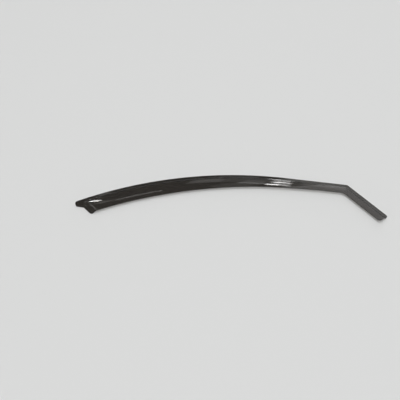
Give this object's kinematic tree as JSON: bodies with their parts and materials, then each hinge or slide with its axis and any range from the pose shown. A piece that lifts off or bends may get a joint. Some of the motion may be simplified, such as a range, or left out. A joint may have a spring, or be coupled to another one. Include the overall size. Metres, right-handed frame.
{
  "type": "window rain deflector",
  "caption": "Long, thin smoked acrylic window visor with a flat insert flange, a raised and crowned face, a cranked front leg and a notched tail.",
  "frame": {"origin": "middle of the bounding box in plan, on the plane of the insert flange's underside", "axes": "+X from the tail to the leg along the length, +Y towards the outer edge that goes into the window channel, +Z from the flange up to the visor's outer side"},
  "size_m": [0.9622, 0.1772, 0.0123],
  "materials": {
    "smoked_acrylic": "polished, dark smoke tint, see-through over a bright ground"
  },
  "bodies": {
    "root": {"deflector": "smoked_acrylic"}
  },
  "joints": []
}
